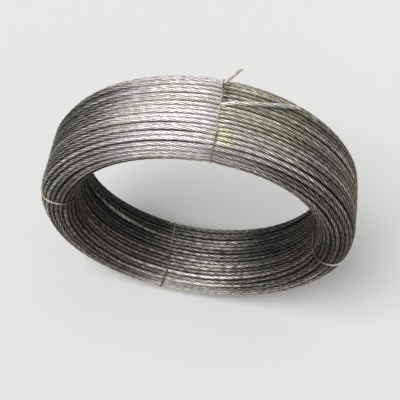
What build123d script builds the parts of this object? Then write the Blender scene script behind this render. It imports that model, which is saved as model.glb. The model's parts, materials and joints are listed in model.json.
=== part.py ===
from build123d import *
from math import cos, pi, radians, sin
import os

# Coil of galvanized steel strand, standing on its rim as it does in the stack.
# The origin is the centre of the bore, +Y runs along the bore to the back, +Z is up.

# The strand and how it is wound, in millimetres
strand_d = 7.8  # seven wires of 2.6
bore_r = 215.0
flat_turns_wide = 12  # turns side by side on the bore and on the rim, between the shoulders
flat_turns_deep = 2  # turns on each end face, between the shoulders
shoulder_turns = 4  # turns round each rounded shoulder
valley_depth = 2.7  # between neighbouring turns, below their crests
crest_flat = 0.12  # flattened on each crest by the winding drum and its flanges

# The ties of soft wire: where each one sits round the coil, in degrees from the right towards the top,
# then where its twisted tail leaves the back shoulder and how far the tail leans over
tie_d = 2.6
tie_clearance = 0.2  # to the turns it presses into
top_tie = 91.5
ties = [
    (-4.0, 45.0, 90.0),
    (top_tie, 5.0, 30.0),
    (176.5, 45.0, -90.0),
    (261.5, 45.0, 90.0),
]
tail_rise = 1.6
tail_bend_r = 3.0
tail_length = 46.0
tail_turns = 5.5
tail_wire_overlap = 0.1  # the two twisted wires press into each other

# The outer end of the strand leaves its turn under the top tie and lies over the turns behind it
end_turn = 8  # the turn that it leaves, counted from the front of the rim
end_middle = (78.5, 1.6)  # azimuth as for the ties, and how many turns further back
end_tip = (65.5, 4.5)
end_seat = 0.2  # how far it presses into the turns that it lies on

# Worked out from those
pitch = strand_d
shoulder_path_r = (shoulder_turns + 1) * pitch * 2 / pi
shoulder_r = shoulder_path_r + strand_d / 2
coil_width = (flat_turns_wide - 1) * pitch + 2 * shoulder_r
coil_depth = (flat_turns_deep - 1) * pitch + 2 * shoulder_r
rim_r = bore_r + coil_depth
middle_r = bore_r + coil_depth / 2
crest_reach = strand_d / 2 + crest_flat
tie_path_r = shoulder_r - tie_d / 2
channel = tie_d + tie_clearance
end_rise = strand_d - end_seat


def turn_places():
    """Places round the section at every half turn, as (point, outward direction): the whole ones are
    the outermost turns and the half ones are the valleys between them. x is radial, y along the bore."""
    half_deep = (flat_turns_deep - 1) * pitch / 2
    half_wide = (flat_turns_wide - 1) * pitch / 2
    sides = [
        (half_deep, -half_wide, 0, flat_turns_wide),
        (half_deep, half_wide, 90, flat_turns_deep),
        (-half_deep, half_wide, 180, flat_turns_wide),
        (-half_deep, -half_wide, 270, flat_turns_deep),
    ]
    places = []
    for corner_x, corner_y, facing, count in sides:
        first = Vector(corner_x, corner_y)
        out = Vector(cos(radians(facing)), sin(radians(facing)))
        along = Vector(-out.Y, out.X)
        for step in range(2 * (count - 1) + 1):
            places.append((first + along * (step * pitch / 2) + out * shoulder_path_r, out))
        last = first + along * ((count - 1) * pitch)
        shoulder_steps = 2 * (shoulder_turns + 1)
        for step in range(1, shoulder_steps):
            angle = radians(facing + 90 * step / shoulder_steps)
            out = Vector(cos(angle), sin(angle))
            places.append((last + out * shoulder_path_r, out))
    return places


def outer_end_point(azimuth, turns_back, rise):
    """A point on the outer end's middle line, so far outside those of the turns of the rim"""
    r = rim_r - strand_d / 2 + rise
    y = (end_turn + turns_back - (flat_turns_wide + 1) / 2) * pitch
    return Vector(r * cos(radians(azimuth)), y, r * sin(radians(azimuth)))


places = turn_places()

with BuildPart() as strand_coil:
    # One arc over the crest of each turn, from the valley before it to the valley after it
    with BuildSketch(Plane((middle_r, 0, 0))):
        with BuildLine():
            for turn in range(0, len(places), 2):
                before, before_out = places[turn - 1]
                crest, crest_out = places[turn]
                after, after_out = places[turn + 1]
                ThreePointArc(
                    before + before_out * (crest_reach - valley_depth),
                    crest + crest_out * crest_reach,
                    after + after_out * (crest_reach - valley_depth),
                )
        make_face()
        Rectangle(coil_depth, coil_width, mode=Mode.INTERSECT)
    revolve(axis=Axis.Y)
    with BuildLine() as outer_end:
        ThreePointArc(
            outer_end_point(top_tie, 0, 0),
            outer_end_point(*end_middle, end_rise),
            outer_end_point(*end_tip, end_rise),
        )
    with BuildSketch(Plane(outer_end.wire() @ 0, z_dir=outer_end.wire() % 0)):
        Circle(strand_d / 2)
    sweep(path=outer_end.wire())
    # Each tie lies in a channel it has pulled into the turns
    for tie_angle, tail_angle, tail_lean in ties:
        with BuildSketch(Plane.XY.rotated((0, -tie_angle, 0))):
            with Locations((middle_r, 0)):
                Rectangle(coil_depth + strand_d, coil_width + strand_d)
                RectangleRounded(
                    coil_depth - 2 * channel,
                    coil_width - 2 * channel,
                    shoulder_r - channel,
                    mode=Mode.SUBTRACT,
                )
        extrude(amount=tie_d / 2 + tie_clearance, both=True, mode=Mode.SUBTRACT)
strand_coil.part.label = "strand_coil"


def twisted_tail(lean):
    """The two ends of a tie twisted together: they rise along +X, bend over towards +Y and run on straight"""
    with BuildPart() as tail:
        with BuildLine() as path:
            Line((0, 0), (tail_rise, 0))
            JernArc((tail_rise, 0), (1, 0), tail_bend_r, lean)
        with BuildSketch(Plane.YZ) as wires:
            with GridLocations(0, tie_d - tail_wire_overlap, 1, 2):
                Circle(tie_d / 2)
        sweep(path=path.wire())
        heading = path.wire() % 1
        bend_end = Plane(path.wire() @ 1, x_dir=(-heading.Y, heading.X, 0), z_dir=heading)
        add(
            Solid.extrude_linear_with_rotation(
                bend_end.location * Plane.YZ.location.inverse() * wires.sketch.face(),
                bend_end.origin,
                heading * tail_length,
                360 * tail_turns,
            )
        )
    return tail.part


half_deep = (coil_depth - tie_d) / 2
half_wide = (coil_width - tie_d) / 2
shoulder_centre = Vector(rim_r - shoulder_r, coil_width / 2 - shoulder_r)
tie_wires = []
for tie_angle, tail_angle, tail_lean in ties:
    out = Vector(cos(radians(tail_angle)), sin(radians(tail_angle)))
    tail_foot = Plane(shoulder_centre + out * tie_path_r, x_dir=out, z_dir=(-out.Y, out.X, 0))
    with BuildPart() as tie_wire:
        with BuildLine() as loop:
            FilletPolyline(
                (middle_r + half_deep, half_wide),
                (middle_r - half_deep, half_wide),
                (middle_r - half_deep, -half_wide),
                (middle_r + half_deep, -half_wide),
                radius=tie_path_r,
                close=True,
            )
        with BuildSketch(Plane(loop.wire() @ 0, z_dir=loop.wire() % 0)):
            Circle(tie_d / 2)
        sweep(path=loop.wire())
        add(tail_foot.location * twisted_tail(tail_lean))
    tie_wires.append(tie_wire.part.rotate(Axis.Y, -tie_angle))

os.makedirs("parts", exist_ok=True)
export_step(strand_coil.part, "parts/strand_coil.step")
for number, tie in enumerate(tie_wires, 1):
    tie.label = f"tie_wire_{number}"
    export_step(tie, f"parts/tie_wire_{number}.step")
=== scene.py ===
import bpy
import json
import math
import numpy as np
from mathutils import Matrix, Vector


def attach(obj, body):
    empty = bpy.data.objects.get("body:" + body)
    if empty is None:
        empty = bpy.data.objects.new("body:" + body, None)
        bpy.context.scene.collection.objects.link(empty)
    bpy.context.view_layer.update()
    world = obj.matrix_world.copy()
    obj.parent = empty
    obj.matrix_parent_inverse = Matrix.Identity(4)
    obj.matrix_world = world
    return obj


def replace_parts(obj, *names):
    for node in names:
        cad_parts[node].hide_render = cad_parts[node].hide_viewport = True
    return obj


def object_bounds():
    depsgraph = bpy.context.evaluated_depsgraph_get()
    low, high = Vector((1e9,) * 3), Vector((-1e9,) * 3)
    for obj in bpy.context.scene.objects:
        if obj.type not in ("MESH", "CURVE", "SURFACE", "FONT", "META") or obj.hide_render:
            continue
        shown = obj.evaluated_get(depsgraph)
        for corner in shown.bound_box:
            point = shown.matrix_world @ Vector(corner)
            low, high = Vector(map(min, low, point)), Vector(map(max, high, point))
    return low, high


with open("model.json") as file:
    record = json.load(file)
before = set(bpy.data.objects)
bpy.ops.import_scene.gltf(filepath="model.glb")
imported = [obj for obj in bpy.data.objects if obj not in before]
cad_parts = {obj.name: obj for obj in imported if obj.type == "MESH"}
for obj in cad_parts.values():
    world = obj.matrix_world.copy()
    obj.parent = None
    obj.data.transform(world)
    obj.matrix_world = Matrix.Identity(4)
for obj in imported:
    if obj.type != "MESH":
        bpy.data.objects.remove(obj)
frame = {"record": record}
cad_low, cad_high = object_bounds()

# Lengths are in metres. The coil's frame: origin at the centre of the bore, +Y along the bore
# to the back, +Z up. Azimuths run from +X towards +Z, as the front end shows them.
MM = 0.001
SEED = 4816
rng = np.random.default_rng(SEED)

# The strand and its winding, as in the solid. The outermost layer has PLACES for that many turns round
# the section, and the strand winds through all of them in one turn fewer.
STRAND_D = 7.8 * MM
FLAT_TURNS_WIDE = 12
FLAT_TURNS_DEEP = 2
SHOULDER_TURNS = 4
PLACES = 2 * (FLAT_TURNS_WIDE + FLAT_TURNS_DEEP) + 4 * SHOULDER_TURNS
WOUND_TURNS = PLACES - 1

bore_mount = next(m for m in frame["record"]["mounts"] if m["name"] == "bore")
bore_r = bore_mount["dims"]["r_mm"] * MM
shoulder_path_r = (SHOULDER_TURNS + 1) * STRAND_D * 2 / math.pi
coil_depth = (FLAT_TURNS_DEEP - 1) * STRAND_D + 2 * (shoulder_path_r + STRAND_D / 2)
rim_r = bore_r + coil_depth
middle_r = bore_r + coil_depth / 2

# Its seven wires, six of them laid round the seventh, how far the twist takes to go round once, and
# how closely the wires bed together
OUTER_WIRES = 6
WIRE_STEP = 2 * math.pi / OUTER_WIRES
WIRE_D = 2.6 * MM
LAY = 100 * MM
STRAND_FULLNESS = 0.985

# How the real winding departs from the even one. It keeps this far inside the solid's crests, and
# single turns sink further: by about half the spread on average and by twice the spread at most.
SINK = 0.5 * MM
SINK_SPREAD = 0.85 * MM
SINK_MIDDLE = 0.5
SINK_MOST = 2
# Turns drift along the section, by parts of a turn's width, and step over to the next place once in
# each round, at this part of the round and over this part of it.
DRIFT_ALONE = 0.11
DRIFT_TOGETHER = 0.09
STEP_AT = 0.42
STEP_SPAN = 0.13
STEP_DRIFT = 0.015
# Each tie pulls them in, and near it this share of their drift and sinking is held back.
TIE_PULL = 2.0 * MM
TIE_REACH = 12 * MM
TIE_HOLD = 0.8
TIE_HOLD_REACH = 3 * TIE_REACH

# One turn at the back of the bore has sprung loose around this azimuth, with a painted highlight there
LOOSE_TURN = 23
LOOSE_AT = 222
LOOSE_SPAN = 27
LOOSE_BY = 5.5 * MM
LOOSE_HIGHLIGHT = 12

# The ties, as in the solid: azimuth, then where the tail leaves the back shoulder and how far it leans,
# in degrees. Each tail rises, bends over and runs on with its two wires twisted.
TIE_D = 2.6 * MM
TIES = [(-4.0, 45.0, 90.0), (91.5, 5.0, 30.0), (176.5, 45.0, -90.0), (261.5, 45.0, 90.0)]
TOP_TIE = TIES[1][0]
TAIL_RISE = 1.6 * MM
TAIL_BEND_R = 3.0 * MM
TAIL_LENGTH = 46.0 * MM
TAIL_TURNS = 5.5

# The outer end of the strand, as in the solid: it leaves its turn of the rim under the top tie and lies
# over the turns behind it. Its middle and its tip are an azimuth and how many turns further back.
END_TURN = 8
END_MIDDLE = (78.5, 1.6)
END_TIP = (65.5, 4.5)
END_SEAT = 0.2 * MM
END_RISE = STRAND_D - END_SEAT


def section_place(s):
    """Places round the section, s in turn widths from the front of the rim, as arrays: radial offset
    from the middle radius, y, and the outward direction's radial and y parts."""
    s = np.mod(np.asarray(s, float), PLACES)
    half_deep = (FLAT_TURNS_DEEP - 1) * STRAND_D / 2
    half_wide = (FLAT_TURNS_WIDE - 1) * STRAND_D / 2
    corners = [
        (half_deep, -half_wide, FLAT_TURNS_WIDE),
        (half_deep, half_wide, FLAT_TURNS_DEEP),
        (-half_deep, half_wide, FLAT_TURNS_WIDE),
        (-half_deep, -half_wide, FLAT_TURNS_DEEP),
    ]
    x, y, out_x, out_y = (np.zeros_like(s) for _ in range(4))
    start = 0
    for side, (corner_x, corner_y, count) in enumerate(corners):
        facing = side * math.pi / 2
        flat = count - 1
        bend = SHOULDER_TURNS + 1
        here = (s >= start) & (s < start + flat + bend)
        along = np.clip(s - start, 0, flat) * STRAND_D
        angle = facing + np.clip(s - start - flat, 0, bend) / bend * math.pi / 2
        px = corner_x - math.sin(facing) * along + np.cos(angle) * shoulder_path_r
        py = corner_y + math.cos(facing) * along + np.sin(angle) * shoulder_path_r
        x = np.where(here, px, x)
        y = np.where(here, py, y)
        out_x = np.where(here, np.cos(angle), out_x)
        out_y = np.where(here, np.sin(angle), out_y)
        start += flat + bend
    return x, y, out_x, out_y


WAVE_SIZES = (0.5, 1)
WAVES_PEAK = 1.6  # over their root mean square


def waves(period, cycles_from, cycles_below, count):
    """A seeded wavy function, about -1 to 1, that repeats after the period: a sum of this many
    waves, each with a whole number of cycles in the period"""
    cycles = rng.integers(cycles_from, cycles_below, count)
    phases = rng.uniform(0, 2 * math.pi, count)
    sizes = rng.uniform(*WAVE_SIZES, count)
    sizes /= np.sqrt((sizes**2).sum() / 2) * WAVES_PEAK

    def wavy(value):
        total = np.zeros_like(np.asarray(value, float))
        for n, phase, size in zip(cycles, phases, sizes):
            total += size * np.sin(2 * math.pi * n * value / period + phase)
        return total

    return wavy


# Drift of whole groups of turns, and unevenness of single ones
group_drift_around = waves(2 * math.pi, cycles_from=1, cycles_below=5, count=4)
group_drift_across = waves(PLACES, cycles_from=3, cycles_below=12, count=4)
single_drift = waves(WOUND_TURNS, cycles_from=15, cycles_below=190, count=22)
single_sink = waves(WOUND_TURNS, cycles_from=20, cycles_below=230, count=22)
step_drift = waves(PLACES, cycles_from=1, cycles_below=4, count=3)


def smooth_step(t):
    """0 up to t = 0 and 1 from t = 1, with a soft rise between them"""
    t = np.clip(t, 0, 1)
    return t * t * (3 - 2 * t)


def bump(degrees, centre, width):
    """1 at the centre azimuth, falling to 0 away from it, all in degrees"""
    away = np.degrees(np.angle(np.exp(1j * np.radians(degrees - centre))))
    return np.exp(-((away / width) ** 2))


def tie_nearness(azimuth, reach):
    """1 under a tie, falling to 0 away from it"""
    width = math.degrees(reach / middle_r)
    return np.max([bump(np.degrees(azimuth), tie[0], width) for tie in TIES], axis=0)


def strand_line(turns):
    """Points of the strand's middle line, for turn numbers counted on continuously from 0 to
    WOUND_TURNS: r, azimuth, y, the outward direction's r and y parts, and how deep it lies, less on the
    loose turn, to give it a painted highlight"""
    azimuth = 2 * math.pi * turns
    whole = np.floor(turns)
    step_at = STEP_AT + STEP_DRIFT * step_drift(whole * PLACES / WOUND_TURNS)
    stepped = smooth_step((turns - whole - step_at) / STEP_SPAN)
    s = (whole + stepped) * PLACES / WOUND_TURNS
    held = 1 - TIE_HOLD * tie_nearness(azimuth, TIE_HOLD_REACH)
    s = s + held * DRIFT_TOGETHER * group_drift_around(azimuth) * group_drift_across(s)
    s = s + held * DRIFT_ALONE * single_drift(turns)
    x, y, out_x, out_y = section_place(s)
    uneven = held * np.clip(SINK_MIDDLE + single_sink(turns), 0, SINK_MOST)
    loose = (whole == LOOSE_TURN) * bump(np.degrees(azimuth), LOOSE_AT, LOOSE_SPAN)
    pulled = TIE_PULL * tie_nearness(azimuth, TIE_REACH)
    sink = SINK + SINK_SPREAD * uneven + pulled - LOOSE_BY * loose
    depth = uneven - LOOSE_HIGHLIGHT * loose
    return middle_r + x - out_x * sink, azimuth, y - out_y * sink, out_x, out_y, depth


def lobed_section(points_per_wire):
    """Outline of six wires laid round a seventh: angle, radius and number of its wire at each point"""
    count = OUTER_WIRES * points_per_wire
    angle = 2 * math.pi * np.arange(count) / count
    from_wire = np.mod(angle + WIRE_STEP / 2, WIRE_STEP) - WIRE_STEP / 2
    reach = WIRE_D * np.cos(from_wire)
    rise = np.sqrt(np.maximum((WIRE_D / 2) ** 2 - (WIRE_D * np.sin(from_wire)) ** 2, 0))
    wire = np.floor(angle / WIRE_STEP + 0.5) % OUTER_WIRES
    return angle, (reach + rise) * STRAND_FULLNESS, wire


def mesh_piece(name, verts, faces, material, attributes=None):
    """A smooth piece on the coil's body, from arrays of points and a list of faces"""
    mesh = bpy.data.meshes.new(name)
    mesh.from_pydata(verts.tolist(), [], faces)
    mesh.shade_smooth()
    for key, values in (attributes or {}).items():
        layer = mesh.attributes.new(key, "FLOAT", "POINT")
        layer.data.foreach_set("value", values.astype(np.float32))
    mesh.materials.append(material)
    piece = bpy.data.objects.new(name, mesh)
    bpy.context.collection.objects.link(piece)
    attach(piece, "root")
    return piece


def tube_faces(rows, columns, first=0, capped=False):
    """Faces of a tube of rows of points, each row a closed ring of columns"""
    row, column = np.meshgrid(np.arange(rows - 1), np.arange(columns), indexing="ij")
    after = (column + 1) % columns
    a = row * columns + column
    b = row * columns + after
    c = (row + 1) * columns + after
    d = (row + 1) * columns + column
    faces = (first + np.stack([a, b, c, d], -1).reshape(-1, 4)).tolist()
    if capped:
        ring = np.arange(columns)
        faces.append((first + ring[::-1]).tolist())
        faces.append((first + (rows - 1) * columns + ring).tolist())
    return faces


# How the coil has weathered, with painted highlights and painted shade, as soft patches round it. Each
# row is a height, an azimuth and a width in degrees and, where the patch doesn't go all across the
# coil, how far back it begins and how far back it is whole, from -1 at the front to 1 at the back.

# Above 0 the zinc is brighter, from wear and from painted highlights, and below 0 it is darker, from
# soil and from painted shade. The rim is bright over its top left, a painted highlight over worn zinc,
# dark near its left edge in painted shade, and dark close to the top tie, most of all behind, by the
# knot, from dirt and the tie's painted shadow.
RIM_WEAR_AND_LIGHT = [
    (1.4, 105, 24),
    (0.3, 76, 18),
    (0.18, 67, 11, 0, -5 / 6),
    (0.3, 300, 40),
    (-0.5, 154, 16),
    (-0.17, 22, 24),
    (-0.15, 83, 8),
    (-0.35, 89, 4.5),
    (-0.6, 90, 1.2, -0.6, 0.4),
]
RIM_EDGE_WORN = [(0.55, 147, 13)]
# The ends are bright at the top and at the bottom, painted highlights over worn zinc, and darker low on
# the left and at the right, painted shade with some dirt.
END_WEAR_AND_LIGHT = [
    (1.2, 104, 28),
    (0.9, 268, 29),
    (0.3, 148, 14),
    (-0.3, 90, 5),
    (-0.15, 205, 40),
    (-0.35, 226, 17),
    (-0.3, 325, 22),
    (-0.9, 5, 18),
]
END_EDGE_WORN = [(0.6, 160, 24)]
# The bore is darker all round, more so behind, from soil and painted shade, and bright only at its
# bottom, a painted highlight over worn zinc. On the shoulders it counts for more than the ends do.
BORE_WEAR_AND_LIGHT = [(1.25, 279, 30), (-0.9, 160, 38), (0.45, 218, 35), (-0.9, 218, 35, -1, 1)]
BORE_SOIL_AND_SHADE = 0.9
BORE_SOIL_AND_SHADE_BEHIND = 0.3
BORE_SHARE = 1.3
# How warm the grime is, from 0, olive, through 0.5, grey, to 1, brown. It is olive on the rim to the
# right of the top tie, and brown at the right and on the left of the bore.
WARMTH = 0.57
WARM = [(0.4, 12, 45)]
WARM_RIM = [(0.2, 108, 25), (-0.16, 145, 18), (-0.2, 72, 21), (-0.75, 72, 21, -0.8, -0.05)]
WARM_ENDS = [(0.45, 108, 25), (-0.16, 145, 18), (-0.06, 275, 30), (-0.25, 300, 15)]
WARM_BORE = [(-0.06, 275, 30), (0.7, 190, 34, 1, -1)]
COOL_BORE = 0.12
# The yellow stain beside the top tie, and a faint one further right on the front half of the rim.
STAIN = [(1, 88.5, 3.5)]
STAIN_Y = -42 * MM
STAIN_WIDTH = 15 * MM
FAINT_STAIN = [(0.2, 74, 11, 0.5, -0.5)]


def patches(degrees, back, rows):
    """The sum of patches, given as rows, at each azimuth and so far back"""
    total = 0
    for height, centre, width, *across in rows:
        patch = height * bump(degrees, centre, width)
        if across:
            begins, whole = across
            patch = patch * np.clip((back - begins) / (whole - begins), 0, 1)
        total = total + patch
    return total


def soil(azimuth, y, out_r, out_y):
    """How the zinc has weathered at each point, painted light included: how dark it is, 0 where it is
    bare and where a painted highlight lies, 1 where it is grimed and 1.75 where grease and painted
    shade make it black; warmth is the hue of its grime, stained is 1 in the middle of the yellow stain
    and inside is 1 in the bore"""
    degrees = np.degrees(azimuth)
    back = np.clip(y / (FLAT_TURNS_WIDE * STRAND_D / 2), -1, 1)
    rim = np.clip(out_r, 0, 1)
    bore = np.clip(-out_r, 0, 1)
    ends = np.abs(out_y)

    def here(rows):
        return patches(degrees, back, rows)

    # Wear and painted highlights make it brighter, soil and painted shade darker
    rim_clean_and_lit = here(RIM_WEAR_AND_LIGHT) + ends * here(RIM_EDGE_WORN)
    bore_clean_and_lit = here(BORE_WEAR_AND_LIGHT) - BORE_SOIL_AND_SHADE - BORE_SOIL_AND_SHADE_BEHIND * back
    end_clean_and_lit = here(END_WEAR_AND_LIGHT) + rim * here(END_EDGE_WORN)
    clean_and_lit = rim_clean_and_lit * rim**2 + bore_clean_and_lit * BORE_SHARE * bore + end_clean_and_lit * ends**2
    clean_and_lit = clean_and_lit / (rim**2 + BORE_SHARE * bore + ends**2)
    warmth = WARMTH + here(WARM) + rim * here(WARM_RIM) + ends * here(WARM_ENDS)
    warmth = warmth + bore * (here(WARM_BORE) - COOL_BORE)
    stained = here(STAIN) * np.exp(-(((y - STAIN_Y) / STAIN_WIDTH) ** 2)) * (out_r > 0)
    stained = stained + rim * here(FAINT_STAIN)
    return {"soil_and_shade": 1 - clean_and_lit, "warmth": np.clip(warmth, 0, 1), "stained": stained, "inside": bore}


def strand_attributes(along_out, reach, wire, by_row):
    """Values at each point of a strand: some differ round its section, the others only along it"""
    rows, columns = along_out.shape
    attributes = {key: np.repeat(values, columns) for key, values in by_row.items()}
    attributes["outward"] = (along_out / (STRAND_D / 2)).reshape(-1)
    attributes["crown"] = np.broadcast_to(reach / (STRAND_D / 2), (rows, columns)).reshape(-1)
    attributes["wire"] = np.broadcast_to(wire, (rows, columns)).reshape(-1)
    return attributes


STEPS_PER_TURN = 240
POINTS_PER_WIRE = 6


def strand_piece(name, first_turn, last_turn, material):
    """The strand from one turn number to another, its wires twisted together"""
    count = int(round((last_turn - first_turn) * STEPS_PER_TURN)) + 1
    turns = np.linspace(first_turn, last_turn, count)
    r, azimuth, y, out_r, out_y, depth = strand_line(turns)
    angle, reach, wire = lobed_section(POINTS_PER_WIRE)
    along = turns * 2 * math.pi * middle_r
    spun = angle[None, :] + (2 * math.pi * along / LAY)[:, None]
    along_out = np.cos(spun) * reach
    across = np.sin(spun) * reach
    vert_r = r[:, None] + along_out * out_r[:, None] - across * out_y[:, None]
    vert_y = y[:, None] + along_out * out_y[:, None] + across * out_r[:, None]
    verts = np.stack(
        [vert_r * np.cos(azimuth)[:, None], vert_y, vert_r * np.sin(azimuth)[:, None]], -1
    ).reshape(-1, 3)
    by_row = {"along": along, "depth": depth, **soil(azimuth, y, out_r, out_y)}
    attributes = strand_attributes(along_out, reach, wire, by_row)
    return mesh_piece(name, verts, tube_faces(count, len(angle)), material, attributes)


class Shades:
    """A material with helpers that add nodes to it"""

    def __init__(self, name):
        self.material = bpy.data.materials.new(name)
        self.material.use_nodes = True
        self.nodes = self.material.node_tree.nodes
        self.links = self.material.node_tree.links
        self.shader = self.nodes["Principled BSDF"]

    def object_place(self):
        return self.nodes.new("ShaderNodeTexCoord").outputs["Object"]

    def attribute(self, key):
        node = self.nodes.new("ShaderNodeAttribute")
        node.attribute_name = key
        return node.outputs["Fac"]

    def combine(self, *values):
        node = self.nodes.new("ShaderNodeCombineXYZ")
        for socket, value in zip(node.inputs, values):
            self.feed(socket, value)
        return node.outputs["Vector"]

    def feed(self, socket, value):
        if isinstance(value, tuple):
            socket.default_value = (*value, 1)
        elif isinstance(value, (int, float)):
            socket.default_value = value
        else:
            self.links.new(value, socket)

    def noise(self, place, scale, detail):
        node = self.nodes.new("ShaderNodeTexNoise")
        node.inputs["Scale"].default_value = scale
        node.inputs["Detail"].default_value = detail
        self.links.new(place, node.inputs["Vector"])
        return node.outputs["Fac"]

    def along_noise(self, lane, scale, detail, wire=0.0):
        """Noise along the strand only, a different one for each lane and wire"""
        return self.noise(self.combine(self.attribute("along"), lane, wire), scale, detail)

    def math(self, operation, a, b):
        node = self.nodes.new("ShaderNodeMath")
        node.operation = operation
        self.feed(node.inputs[0], a)
        self.feed(node.inputs[1], b)
        return node.outputs["Value"]

    def add(self, first, *others):
        total = first
        for other in others:
            total = self.math("ADD", total, other)
        return total

    def times(self, a, b):
        return self.math("MULTIPLY", a, b)

    def swing(self, value, size, middle=0.5):
        """How far a value, such as a noise, is from its middle, times a size"""
        return self.times(self.math("SUBTRACT", value, middle), size)

    def ramp(self, value, stops):
        node = self.nodes.new("ShaderNodeValToRGB")
        elements = node.color_ramp.elements
        while len(elements) < len(stops):
            elements.new(0.5)
        for element, (position, color) in zip(elements, stops):
            element.position = position
            element.color = (*color, 1) if isinstance(color, tuple) else (color, color, color, 1)
        self.links.new(value, node.inputs["Fac"])
        return node.outputs["Color"]

    def mix(self, factor, a, b, blend="MIX"):
        node = self.nodes.new("ShaderNodeMix")
        node.data_type = "RGBA"
        node.blend_type = blend
        node.clamp_result = True
        for name, value in (("Factor", factor), ("A", a), ("B", b)):
            self.feed([i for i in node.inputs if i.name == name and i.enabled][0], value)
        return [o for o in node.outputs if o.enabled][0]

    def shade(self, colour, by, share=1.0):
        """A colour times another, or only a share of that"""
        return self.mix(share, colour, by, "MULTIPLY")

    def bumps(self, height, depth):
        node = self.nodes.new("ShaderNodeBump")
        node.inputs["Distance"].default_value = depth
        self.links.new(height, node.inputs["Height"])
        self.links.new(node.outputs["Normal"], self.shader.inputs["Normal"])

    def set(self, **values):
        for name, value in values.items():
            self.feed(self.shader.inputs[name.replace("_", " ")], value)
        return self.material


# Each ramp below is a list of stops: a value of what it follows, and the colour or the share there.

# The zinc and what lies on it, from the dark streaks to the pale ones
SILVER = [(0.34, (0.52, 0.5, 0.47)), (0.48, (0.61, 0.595, 0.58)), (0.64, (0.67, 0.66, 0.65))]
OLIVE_GRIME = [(0.36, (0.08, 0.074, 0.05)), (0.5, (0.185, 0.177, 0.118)), (0.64, (0.36, 0.345, 0.245))]
GREY_GRIME = [(0.36, (0.085, 0.08, 0.072)), (0.5, (0.19, 0.181, 0.167)), (0.64, (0.38, 0.366, 0.342))]
BROWN_GRIME = [(0.36, (0.085, 0.065, 0.05)), (0.5, (0.207, 0.16, 0.124)), (0.64, (0.415, 0.335, 0.272))]
# Grease, black or rusty, also stands for painted shade where the bore and some edges are dark
GREASE_AND_SHADE = [(0.36, (0.017, 0.0165, 0.015)), (0.64, (0.05, 0.048, 0.044))]
RUSTY_GREASE_AND_SHADE = [(0.36, (0.025, 0.02, 0.016)), (0.64, (0.072, 0.058, 0.048))]
STAIN_COLOUR = (0.72, 0.62, 0.42)
STAIN_SHARE = 0.75

# The cast of the bare zinc: green, straw, rose and violet in patches, which its warmth shifts, then
# olive to rose by its warmth alone
PATCH_CASTS = [
    (0.32, (0.9, 0.94, 0.87)),
    (0.46, (0.98, 0.955, 0.91)),
    (0.54, (0.98, 0.925, 0.93)),
    (0.68, (0.94, 0.92, 0.98)),
]
CAST_MIDDLE = 0.6
CAST_BY_WARMTH = 0.22
WARMTH_CASTS = [(0.1, (0.97, 0.97, 0.85)), (0.5, (1.0, 1.0, 1.0)), (1.0, (1.0, 0.94, 0.96))]

# From olive grime to grey and from grey to brown as it gets warmer, and how much the warmth differs
# along each turn
OLIVE_TO_GREY = [(0.0, 0.0), (0.5, 1.0)]
GREY_TO_BROWN = [(0.5, 0.0), (1.0, 1.0)]
OWN_WARMTH = 1.2

# How much the soiling differs in patches, along each turn, which is less so in the bore, and with how
# deep the turn lies, a painted shade on sunken turns
PATCH_SOIL = 0.3
OWN_SOIL = [(0.3, 0.65), (0.9, 0.3)]
DEPTH_SHADE = 0.16

# From bare to grimed as the zinc gets dirtier and darker in painted shade, and past this from grimed to
# black, grease together with painted shade
GRIMED = [(0.12, 0.0), (0.95, 1.0)]
GREASED_AND_SHADED_FROM = 1.0
GREASED_AND_SHADED = [(0.0, 0.0), (0.75, 1.0)]

# Tones along each turn, specks, and painted glints in dashes along each wire, with how far they show,
# from bare to grimed zinc and, for the painted glints, how much more in the bore
TONE = [(0.38, 0.72), (0.62, 1.35)]
TONE_SHARE = [(0.0, 0.3), (1.0, 1.0)]
SPECKS = [(0.3, 0.66), (0.7, 1.3)]
PAINTED_GLINTS = [(0.38, 0.42), (0.5, 0.95), (0.64, 1.9)]
PAINTED_GLINTS_SHARE = [(0.0, 0.38), (1.0, 0.75)]
PAINTED_GLINTS_INSIDE = 0.4
LANE_PER_WIRE = 5.0

# Painted shade and highlight: dark in the grooves between wires and bright on their crowns, dark in the
# gaps between turns, with some grime there, and bright on their crests, with how far both show, from
# bare to grimed zinc
WIRE_PAINTED_LIGHT = [(0.6, 0.05), (0.8, 0.33), (0.92, 0.85), (0.98, 1.45)]
TURN_PAINTED_LIGHT = [
    (0.08, (0.015, 0.013, 0.011)),
    (0.36, (0.17, 0.155, 0.14)),
    (0.52, (0.55, 0.53, 0.51)),
    (0.66, (0.93, 0.92, 0.91)),
    (0.85, (1.05, 1.05, 1.05)),
    (0.95, (1.6, 1.6, 1.6)),
]
PAINTED_LIGHT_SHARE = [(0.0, 0.34), (0.9, 1.0)]

# Roughness from dark to pale dashes, and what the grooves between wires add, then how metallic it is
# from bare to grimed
DASHES_ROUGHNESS = [(0.36, 0.45), (0.64, 0.36)]
GROOVES_ROUGHNESS = [(0.8, 0.2), (0.98, 0.0)]
ZINC_METALLIC = [(0.0, 0.85), (1.0, 0.45)]
ZINC_SPECULAR = 0.3
ZINC_BUMPS = 0.12 * MM


def bare_zinc(shades, streak, warmth):
    """Silver in streaks, with a faint cast"""
    patchy = shades.noise(shades.object_place(), scale=21, detail=3)
    cast = shades.add(patchy, shades.swing(warmth, CAST_BY_WARMTH, CAST_MIDDLE))
    silver = shades.shade(shades.ramp(streak, SILVER), shades.ramp(cast, PATCH_CASTS))
    return shades.shade(silver, shades.ramp(warmth, WARMTH_CASTS))


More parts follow.
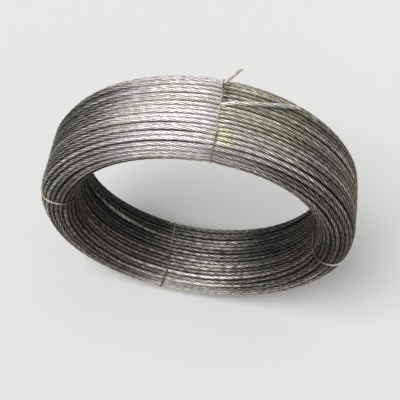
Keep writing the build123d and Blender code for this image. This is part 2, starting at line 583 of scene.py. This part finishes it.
def zinc_grime(shades, streak, warmth):
    """Grime in the same streaks, olive, grey or brown"""
    olive = shades.ramp(streak, OLIVE_GRIME)
    grey = shades.ramp(streak, GREY_GRIME)
    brown = shades.ramp(streak, BROWN_GRIME)
    cool = shades.mix(shades.ramp(warmth, OLIVE_TO_GREY), olive, grey)
    return shades.mix(shades.ramp(warmth, GREY_TO_BROWN), cool, brown)


def zinc_grease_and_shade(shades, streak, warmth):
    """Old grease, black or rusty, which also serves as painted shade"""
    black = shades.ramp(streak, GREASE_AND_SHADE)
    rusty = shades.ramp(streak, RUSTY_GREASE_AND_SHADE)
    return shades.mix(shades.ramp(warmth, GREY_TO_BROWN), black, rusty)


def zinc_soil_and_shade(shades):
    """How dirty the zinc is, painted light included, with patches and stretches of its own, and painted
    shade on turns that lie deeper
    """
    patchy = shades.noise(shades.object_place(), scale=9, detail=5)
    own_soil = shades.ramp(shades.attribute("inside"), OWN_SOIL)
    return shades.add(
        shades.attribute("soil_and_shade"),
        shades.swing(patchy, PATCH_SOIL),
        shades.swing(shades.along_noise(lane=13.0, scale=3.2, detail=3), own_soil),
        shades.times(shades.attribute("depth"), DEPTH_SHADE),
    )


def zinc_material():
    """Weathered zinc: streaks of silver along each turn, under olive, grey or brown grime and black
    grease, which also serves as painted shade, with painted highlights and glints on the crowns of the
    wires and painted shade between the turns"""
    shades = Shades("weathered_zinc")
    place = shades.object_place()
    streak = shades.along_noise(lane=0.0, scale=2.6, detail=5)
    tone = shades.along_noise(lane=7.0, scale=1.4, detail=2)
    warmth = shades.attribute("warmth")
    grime_warmth = shades.add(warmth, shades.swing(tone, OWN_WARMTH))
    soil_and_shade = zinc_soil_and_shade(shades)
    grimed = shades.ramp(soil_and_shade, GRIMED)
    greased_and_shaded = shades.ramp(shades.math("SUBTRACT", soil_and_shade, GREASED_AND_SHADED_FROM), GREASED_AND_SHADED)
    silver = bare_zinc(shades, streak, warmth)
    colour = shades.mix(grimed, silver, zinc_grime(shades, streak, grime_warmth))
    colour = shades.mix(greased_and_shaded, colour, zinc_grease_and_shade(shades, streak, grime_warmth))
    stained = shades.times(shades.attribute("stained"), STAIN_SHARE)
    colour = shades.mix(stained, colour, STAIN_COLOUR)

    colour = shades.shade(colour, shades.ramp(tone, TONE), shades.ramp(grimed, TONE_SHARE))
    colour = shades.shade(colour, shades.ramp(shades.noise(place, scale=480, detail=3), SPECKS))
    # Painted glints: dashes of light and dark along each wire, stronger in the bore
    wire = shades.times(shades.attribute("wire"), LANE_PER_WIRE)
    dashes = shades.along_noise(lane=0.0, scale=70, detail=2, wire=wire)
    inside = shades.times(shades.attribute("inside"), PAINTED_GLINTS_INSIDE)
    painted_glint_share = shades.add(shades.ramp(grimed, PAINTED_GLINTS_SHARE), inside)
    colour = shades.shade(colour, shades.ramp(dashes, PAINTED_GLINTS), painted_glint_share)
    # Painted shade between wires and turns, and painted highlights on crowns and crests
    crown = shades.attribute("crown")
    painted_light_share = shades.ramp(grimed, PAINTED_LIGHT_SHARE)
    colour = shades.shade(colour, shades.ramp(crown, WIRE_PAINTED_LIGHT), painted_light_share)
    colour = shades.shade(colour, shades.ramp(shades.attribute("outward"), TURN_PAINTED_LIGHT), painted_light_share)

    roughness = shades.add(shades.ramp(dashes, DASHES_ROUGHNESS), shades.ramp(crown, GROOVES_ROUGHNESS))
    metallic = shades.ramp(grimed, ZINC_METALLIC)
    shades.bumps(shades.noise(place, scale=650, detail=3), ZINC_BUMPS)
    return shades.set(
        Base_Color=colour, Metallic=metallic, Roughness=roughness, Specular_IOR_Level=ZINC_SPECULAR
    )


# Near black: painted shade on the turns below, with some grime
DEEP_SHADE_AND_GRIME = [(0.3, (0.012, 0.011, 0.009)), (0.7, (0.05, 0.045, 0.035))]
DEEP_GRIME_BUMPS = 0.4 * MM


def core_shade_material():
    """The turns below, painted near black as shade, with old grease and dust"""
    shades = Shades("deep_shade_and_grime")
    place = shades.object_place()
    colour = shades.ramp(shades.noise(place, scale=60, detail=4), DEEP_SHADE_AND_GRIME)
    shades.bumps(shades.noise(place, scale=300, detail=3), DEEP_GRIME_BUMPS)
    return shades.set(Base_Color=colour, Metallic=0.2, Roughness=0.75)


TIE_CLEAN = [(0.3, (0.30, 0.23, 0.16)), (0.48, (0.55, 0.48, 0.38)), (0.7, (0.80, 0.75, 0.67))]
TIE_DIRTY = [(0.35, (0.02, 0.017, 0.013)), (0.55, (0.07, 0.055, 0.04)), (0.75, (0.2, 0.17, 0.12))]
TIE_SPECKS = [(0.3, 0.7), (0.7, 1.25)]
TIE_BUMPS = 0.15 * MM


def tie_material():
    """Soft annealed tie wire, straw and tan where it has little dirt and where a painted highlight
    lies, dark where it is dirty and where painted shade lies
    """
    shades = Shades("tie_wire")
    place = shades.object_place()
    patchy = shades.noise(place, scale=55, detail=4)
    clean_and_lit = shades.ramp(patchy, TIE_CLEAN)
    dirty = shades.ramp(patchy, TIE_DIRTY)
    colour = shades.mix(shades.attribute("soil_and_shade"), clean_and_lit, dirty)
    colour = shades.shade(colour, shades.ramp(shades.noise(place, scale=700, detail=2), TIE_SPECKS))
    shades.bumps(shades.noise(place, scale=900, detail=3), TIE_BUMPS)
    return shades.set(Base_Color=colour, Metallic=0.35, Roughness=0.5)


zinc = zinc_material()
deep_shade_and_grime = core_shade_material()
tie_steel = tie_material()

TURNS_PER_PIECE = 9
for number, first in enumerate(range(0, WOUND_TURNS, TURNS_PER_PIECE), 1):
    last = min(first + TURNS_PER_PIECE, WOUND_TURNS)
    piece = strand_piece(f"strand_turns_{number}", first, last, zinc)
    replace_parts(piece, "strand_coil")

CORE_STEPS_AROUND = 180
CORE_POINTS_PER_TURN = 4
# How far its crests and its valleys lie below the middle line of the outermost turns
CORE_CREST = 3.4 * MM
CORE_VALLEY = 5.6 * MM


def core_piece():
    """The layer of turns under the outermost one, seen only through its gaps"""
    count = PLACES * CORE_POINTS_PER_TURN
    s = np.arange(count) / CORE_POINTS_PER_TURN
    x, y, out_x, out_y = section_place(s)
    valley = 0.5 + 0.5 * np.cos(2 * math.pi * s)
    sink = CORE_CREST + (CORE_VALLEY - CORE_CREST) * valley
    azimuth = 2 * math.pi * np.arange(CORE_STEPS_AROUND + 1) / CORE_STEPS_AROUND
    r = middle_r + x - out_x * sink
    around = np.stack([np.cos(azimuth), np.zeros_like(azimuth), np.sin(azimuth)], -1)
    verts = around[:, None, :] * r[None, :, None]
    verts[..., 1] = y - out_y * sink
    verts = verts[:-1].reshape(-1, 3)
    faces = np.array(tube_faces(CORE_STEPS_AROUND + 1, count)) % len(verts)
    return mesh_piece("turns_below", verts, faces.tolist(), deep_shade_and_grime)


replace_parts(core_piece(), "strand_coil")


def unit(v):
    return v / np.linalg.norm(v, axis=-1, keepdims=True)


ANY_WAY = [0.3, 0.8, 0.5]  # along no wire


def wire_tube(points, radius, columns, first=0):
    """A round wire along points: its verts and faces, with flat cut ends"""
    tangents = unit(np.gradient(points, axis=0))
    side = unit(np.cross(tangents[0], ANY_WAY))
    angle = 2 * math.pi * np.arange(columns) / columns
    rings = []
    for point, tangent in zip(points, tangents):
        side = unit(side - tangent * (side @ tangent))
        other = np.cross(tangent, side)
        rings.append(point + radius * (np.cos(angle)[:, None] * side + np.sin(angle)[:, None] * other))
    return np.concatenate(rings), tube_faces(len(points), columns, first, capped=True)


def hermite(start, start_way, end, end_way, count):
    """A smooth curve between two points that leaves and arrives along the given ways"""
    t = np.linspace(0, 1, count)[:, None]
    return (
        (2 * t**3 - 3 * t**2 + 1) * start
        + (t**3 - 2 * t**2 + t) * start_way
        + (3 * t**2 - 2 * t**3) * end
        + (t**3 - t**2) * end_way
    )


# The wire of a tie: how far out its middle line lies from that of the turns, how far it wobbles on its
# way round, and how far from its tail's foot it leaves the coil on either side
TIE_SIDES = 10
TIE_OUT = (STRAND_D - TIE_D) / 2
TIE_WOBBLE = 1.1 * MM
TIE_OPENING = 4.5 * MM
LOOP_POINTS = 240
JOIN_POINTS = 12
JOIN_REACH = 1.6 * TIE_OPENING

# Its tail: where the twist starts, how much shorter it is than the solid's, how tightly its two wires
# lie together and how they part at the tip, in shares of their radius, and by how many points one of
# them is cut shorter
TAIL_POINTS = 130
TWIST_FROM = 2.6 * MM
TAIL_SHORT_BY = 1.5 * MM
TAIL_TIGHT = 0.98
TAIL_PARTING = 0.9
TAIL_PARTED = 5 * MM
TAIL_CUT_SHORTER = 9


def tie_loop(foot_s):
    """The wire's way round the coil's section, from one side of its tail's foot to the other"""
    opening = TIE_OPENING / STRAND_D
    s = np.linspace(foot_s - opening, foot_s + opening - PLACES, LOOP_POINTS)
    x, y, out_x, out_y = section_place(s)
    wobble = waves(LOOP_POINTS, cycles_from=2, cycles_below=9, count=4)(np.arange(LOOP_POINTS))
    free = np.sin(np.linspace(0, math.pi, LOOP_POINTS))
    r = middle_r + x + out_x * TIE_OUT
    return np.stack([r, y + out_y * TIE_OUT, TIE_WOBBLE * wobble * free], -1)


def tail_wires(foot, out, back, lean):
    """The two twisted wires of a tail, which rise from its foot, bend over and part at the tip"""
    bend = math.radians(lean)
    lean_way = np.array([0, 0, math.copysign(1, bend)])
    bent = abs(bend) * TAIL_BEND_R
    u = np.linspace(TWIST_FROM, TAIL_RISE + bent + TAIL_LENGTH - TAIL_SHORT_BY, TAIL_POINTS)
    turned = np.clip((u - TAIL_RISE) / TAIL_BEND_R, 0, abs(bend))
    run = np.clip(u - TAIL_RISE - bent, 0, None)
    up = np.minimum(u, TAIL_RISE) + TAIL_BEND_R * np.sin(turned) + run * math.cos(bend)
    aside = TAIL_BEND_R * (1 - np.cos(turned)) + run * math.sin(abs(bend))
    middle = foot + up[:, None] * out + aside[:, None] * lean_way
    normal = np.cos(turned)[:, None] * lean_way - np.sin(turned)[:, None] * out
    phase = 2 * math.pi * TAIL_TURNS * (u - TWIST_FROM) / TAIL_LENGTH
    swing = np.cos(phase)[:, None] * back + np.sin(phase)[:, None] * normal
    parted = smooth_step((u - u[-1] + TAIL_PARTED) / TAIL_PARTED) ** 2
    reach = TIE_D / 2 * (TAIL_TIGHT + TAIL_PARTING * parted)[:, None] * swing
    return (middle - reach)[: TAIL_POINTS - TAIL_CUT_SHORTER], middle + reach


def tie_path(azimuth, tail_angle, lean):
    """One wire: up one side of its twisted tail, round the coil's section and up the other side,
    and the place of its tail's foot. Worked out as r, y and the way of falling azimuth, then
    turned into place."""
    tail_from = math.radians(tail_angle)
    out = np.array([math.cos(tail_from), math.sin(tail_from), 0])
    back = np.array([-math.sin(tail_from), math.cos(tail_from), 0])
    foot_s = FLAT_TURNS_WIDE - 1 + tail_angle / 90 * (SHOULDER_TURNS + 1)
    foot_x, foot_y, _, _ = section_place(foot_s)
    foot = np.array([middle_r + foot_x, foot_y, 0]) + out * TIE_OUT

    loop = tie_loop(foot_s)
    first, second = tail_wires(foot, out, back, lean)
    loop_way = -back * JOIN_REACH
    first_way = unit(first[0] - first[1]) * JOIN_REACH
    second_way = unit(second[1] - second[0]) * JOIN_REACH
    into = hermite(first[0], first_way, loop[0], loop_way, JOIN_POINTS)
    outof = hermite(loop[-1], loop_way, second[0], second_way, JOIN_POINTS)
    flat = np.concatenate([first[::-1], into[1:-1], loop, outof[1:-1], second])

    turn = math.radians(azimuth)
    r_way = np.array([math.cos(turn), 0, math.sin(turn)])
    falling = np.array([math.sin(turn), 0, -math.cos(turn)])
    ways = np.array([r_way, [0, 1, 0], falling])
    return flat @ ways, foot @ ways


# How dirty each tie is on the rim, at the front and in the bore, and at its knot, with painted shade in
# the bore and painted highlights where little dirt is given
TIE_SOIL_AND_LIGHT = [(0.65, 0.0, 0.9), (0.2, 0.8, 0.6), (0.1, 0.1, 0.95), (0.95, 0.9, 0.9)]
TIE_SOIL_SPREAD = 0.25
FRONT_SPAN = 15 * MM
KNOT_SOIL = 1.0
KNOT_REACH = 8 * MM


def tie_piece(number, tie, rim_soil_and_light, front_soil_and_light, bore_soil_and_shade):
    """The wire of one tie, darker or paler along its way, from dirt, painted shade in the bore and
    painted highlights
    """
    path, knot = tie_path(*tie)
    verts, faces = wire_tube(path, TIE_D / 2, TIE_SIDES)
    uneven = waves(len(verts), cycles_from=2, cycles_below=12, count=5)(np.arange(len(verts)))
    front = smooth_step((cad_low.y / 2 - verts[:, 1]) / FRONT_SPAN)
    inside = smooth_step((middle_r - np.hypot(verts[:, 0], verts[:, 2])) / (coil_depth / 4))
    knotted = np.exp(-((np.linalg.norm(verts - knot, axis=-1) / KNOT_REACH) ** 2))
    soil_and_shade = rim_soil_and_light + (front_soil_and_light - rim_soil_and_light) * front
    soil_and_shade = soil_and_shade + (bore_soil_and_shade - soil_and_shade) * inside + KNOT_SOIL * knotted + TIE_SOIL_SPREAD * uneven
    attributes = {"soil_and_shade": np.clip(soil_and_shade, 0, 1)}
    piece = mesh_piece(f"twisted_tie_{number}", verts, faces, tie_steel, attributes)
    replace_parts(piece, f"tie_wire_{number}")


for number, (tie, soils_and_light) in enumerate(zip(TIES, TIE_SOIL_AND_LIGHT), 1):
    tie_piece(number, tie, *soils_and_light)


# The outer end: over what length and how far its wires part at the tip, each by a share of its own, and
# how many steps short of it they are cut, at random
END_STEPS = 96
END_WIRE_SIDES = 8
END_SPLAY_FROM = 9 * MM
END_SPLAY = 1.3 * MM
END_SPLAY_SHARES = (0.5, 1.2)
END_CUT_SHORT_BELOW = 3
# It is cleaner than the turns it lies on, and its sides get less painted shade.
END_SOILED = 0.25
END_WARMTH = 0.4
END_LESS_PAINTED_SHADE = 0.12

RADIAL = np.array([1, 0, 1])  # the part of a vector across the coil's axis


def arc_through(first, middle, last, count):
    """Points on the circle through three points, from the first to the last"""
    a, b = middle - first, last - first
    axis = np.cross(a, b)
    to_centre = (np.cross(axis, a) * (b @ b) + np.cross(b, axis) * (a @ a)) / (2 * axis @ axis)
    centre = first + to_centre
    x = -to_centre
    y = np.cross(unit(axis), x)
    end = math.atan2((last - centre) @ y, (last - centre) @ x) % (2 * math.pi)
    angle = np.linspace(0, end, count)[:, None]
    return centre + np.cos(angle) * x + np.sin(angle) * y


def outer_end_point(degrees, turns_back, rise):
    """A point on the outer end's middle line, so far outside those of the turns of the rim"""
    azimuth = math.radians(degrees)
    r = rim_r - STRAND_D / 2 + rise
    y = (END_TURN + turns_back - (FLAT_TURNS_WIDE + 1) / 2) * STRAND_D
    return np.array([r * math.cos(azimuth), y, r * math.sin(azimuth)])


def end_line():
    """The outer end's middle line, coming up from under the top tie and crossing the rim, with the
    way out of the rim and the way to the side at each point, and how far along it is"""
    line = arc_through(
        outer_end_point(TOP_TIE, 0, 0),
        outer_end_point(*END_MIDDLE, END_RISE),
        outer_end_point(*END_TIP, END_RISE),
        END_STEPS,
    )
    azimuth = np.arctan2(line[:, 2], line[:, 0])
    pulled_in = SINK + TIE_PULL * tie_nearness(azimuth, TIE_REACH)
    line = line - pulled_in[:, None] * unit(line * RADIAL)
    tangents = unit(np.gradient(line, axis=0))
    out = unit(line * RADIAL)
    out = unit(out - tangents * (out * tangents).sum(-1, keepdims=True))
    side = np.cross(tangents, out)
    steps = np.linalg.norm(np.diff(line, axis=0), axis=-1)
    return line, out, side, np.concatenate([[0], np.cumsum(steps)])


def end_piece():
    """The outer end of the strand, with a cut tip where the wires part a little"""
    line, out, side, along = end_line()
    length = along[-1]
    parting = END_SPLAY * smooth_step((along - length + END_SPLAY_FROM) / END_SPLAY_FROM) ** 1.5
    all_verts, all_faces, outward, crown, wires = [], [], [], [], []
    first = 0
    for wire in range(OUTER_WIRES + 1):
        points = line
        if wire:
            angle = 2 * math.pi * (along / LAY + wire / OUTER_WIRES)
            swing = np.cos(angle)[:, None] * out + np.sin(angle)[:, None] * side
            reach = WIRE_D * STRAND_FULLNESS + parting * rng.uniform(*END_SPLAY_SHARES)
            points = line + swing * reach[:, None]
        cut = END_STEPS - rng.integers(0, END_CUT_SHORT_BELOW)
        verts, faces = wire_tube(points[:cut], WIRE_D / 2, END_WIRE_SIDES, first)
        from_line = verts - np.repeat(line[:cut], END_WIRE_SIDES, axis=0)
        outward.append((from_line * np.repeat(out[:cut], END_WIRE_SIDES, axis=0)).sum(-1))
        crown.append(np.linalg.norm(from_line, axis=-1))
        wires.append(np.full(len(verts), float(wire)))
        all_verts.append(verts)
        all_faces += faces
        first += len(verts)
    outward = np.concatenate(outward) / (STRAND_D / 2)
    crown = np.concatenate(crown) / (STRAND_D / 2)
    count = len(outward)
    attributes = {
        "outward": np.clip(outward + END_LESS_PAINTED_SHADE, -1, 1),
        "crown": np.clip(crown, 0, 1),
        "wire": np.concatenate(wires),
        "along": np.linspace(0, length * (OUTER_WIRES + 1), count),
        "depth": np.zeros(count),
        "soil_and_shade": np.full(count, END_SOILED),
        "warmth": np.full(count, END_WARMTH),
        "stained": np.zeros(count),
        "inside": np.zeros(count),
    }
    piece = mesh_piece("strand_end", np.concatenate(all_verts), all_faces, zinc, attributes)
    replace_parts(piece, "strand_coil")


end_piece()


FLOOR_REACH = 15.0
FLOOR_COLOUR = (0.74, 0.74, 0.73)


def floor_piece():
    """A plain pale floor under the coil"""
    size = FLOOR_REACH
    z = cad_low.z
    mesh = bpy.data.meshes.new("floor")
    mesh.from_pydata(
        [(-size, -size, z), (size, -size, z), (size, size, z), (-size, size, z)], [], [(0, 1, 2, 3)]
    )
    floor = bpy.data.objects.new("floor", mesh)
    bpy.context.collection.objects.link(floor)
    shades = Shades("floor")
    mesh.materials.append(shades.set(Base_Color=FLOOR_COLOUR, Roughness=0.9))


floor_piece()


# How strongly the world lights the scene, how bright it looks to the camera and in the metal, and the
# lamp: its strength, how many degrees across it is, and the way to it
WORLD_LIGHT = 0.42
WORLD_SEEN = 0.82
KEY_LIGHT = 2.45
KEY_SPREAD = 38
KEY_FROM = (-0.435, -0.31, 0.846)


def set_light():
    """Soft light from all round, a pale background that the metal shows too, and one broad lamp"""
    world = bpy.data.worlds.new("studio")
    bpy.context.scene.world = world
    world.use_nodes = True
    nodes, links = world.node_tree.nodes, world.node_tree.links
    rays = nodes.new("ShaderNodeLightPath")
    seen = rays.outputs["Is Camera Ray"]
    for ray in ("Is Glossy Ray", "Is Transmission Ray"):
        either = nodes.new("ShaderNodeMath")
        either.operation = "MAXIMUM"
        links.new(seen, either.inputs[0])
        links.new(rays.outputs[ray], either.inputs[1])
        seen = either.outputs["Value"]
    strength = nodes.new("ShaderNodeMapRange")
    strength.inputs["To Min"].default_value = WORLD_LIGHT
    strength.inputs["To Max"].default_value = WORLD_SEEN
    links.new(seen, strength.inputs["Value"])
    links.new(strength.outputs["Result"], nodes["Background"].inputs["Strength"])
    nodes["Background"].inputs["Color"].default_value = (1, 1, 1, 1)
    lamp = bpy.data.lights.new("key", "SUN")
    lamp.energy = KEY_LIGHT
    lamp.angle = math.radians(KEY_SPREAD)
    key = bpy.data.objects.new("key", lamp)
    key.rotation_euler = Vector(KEY_FROM).to_track_quat("Z", "Y").to_euler()
    bpy.context.collection.objects.link(key)


set_light()

# The camera as the photograph has it, looking at the middle of the bore: it stands this far round from
# the front towards the right, this high up and this many rim radii away, and is rolled so that the
# coil looks turned clockwise by this much
VIEW_AZIMUTH = -4.7
VIEW_ELEVATION = 59.7
VIEW_ROLL = 15.0
VIEW_DISTANCE = 5.03
LENS = 70.0


def set_camera():
    azimuth, elevation = math.radians(VIEW_AZIMUTH), math.radians(VIEW_ELEVATION)
    back = Vector(
        (
            math.sin(azimuth) * math.cos(elevation),
            -math.cos(azimuth) * math.cos(elevation),
            math.sin(elevation),
        )
    )
    level = back.to_track_quat("Z", "Y").to_matrix().to_4x4()
    data = bpy.data.cameras.new("camera")
    data.lens = LENS
    camera = bpy.data.objects.new("camera", data)
    bpy.context.collection.objects.link(camera)
    place = Matrix.Translation(back * VIEW_DISTANCE * rim_r)
    camera.matrix_world = place @ level @ Matrix.Rotation(math.radians(VIEW_ROLL), 4, "Z")
    bpy.context.scene.camera = camera


set_camera()
bpy.context.scene.view_settings.view_transform = "Standard"

bpy.context.view_layer.update()
